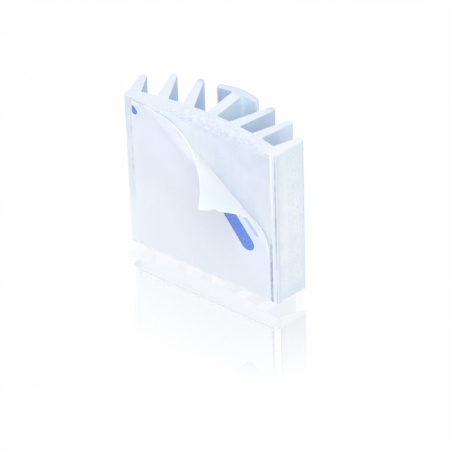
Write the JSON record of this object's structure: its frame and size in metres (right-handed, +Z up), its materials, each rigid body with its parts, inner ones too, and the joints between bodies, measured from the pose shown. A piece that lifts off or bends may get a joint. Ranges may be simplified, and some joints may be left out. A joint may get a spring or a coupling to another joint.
{
  "type": "stick-on memory chip heat sink",
  "caption": "Small extruded aluminium heat sink with leaning fins either side of a T-shaped middle fin, and adhesive tape with its liner peeled from one corner.",
  "frame": {"origin": "middle of the extrusion's footprint on the lower sawn end that it stands on", "axes": "+Z up along the extrusion, +Y from the taped face towards the fin tips, +X across the fins"},
  "size_m": [0.0152, 0.0108, 0.0141],
  "materials": {
    "aluminium": "satin, as extruded, with sawn ends",
    "tape": "matt adhesive",
    "liner": "smooth coated paper with a blue print"
  },
  "bodies": {
    "root": {"heat_sink": "aluminium", "thermal_tape": "tape", "release_liner": "liner"}
  },
  "joints": []
}
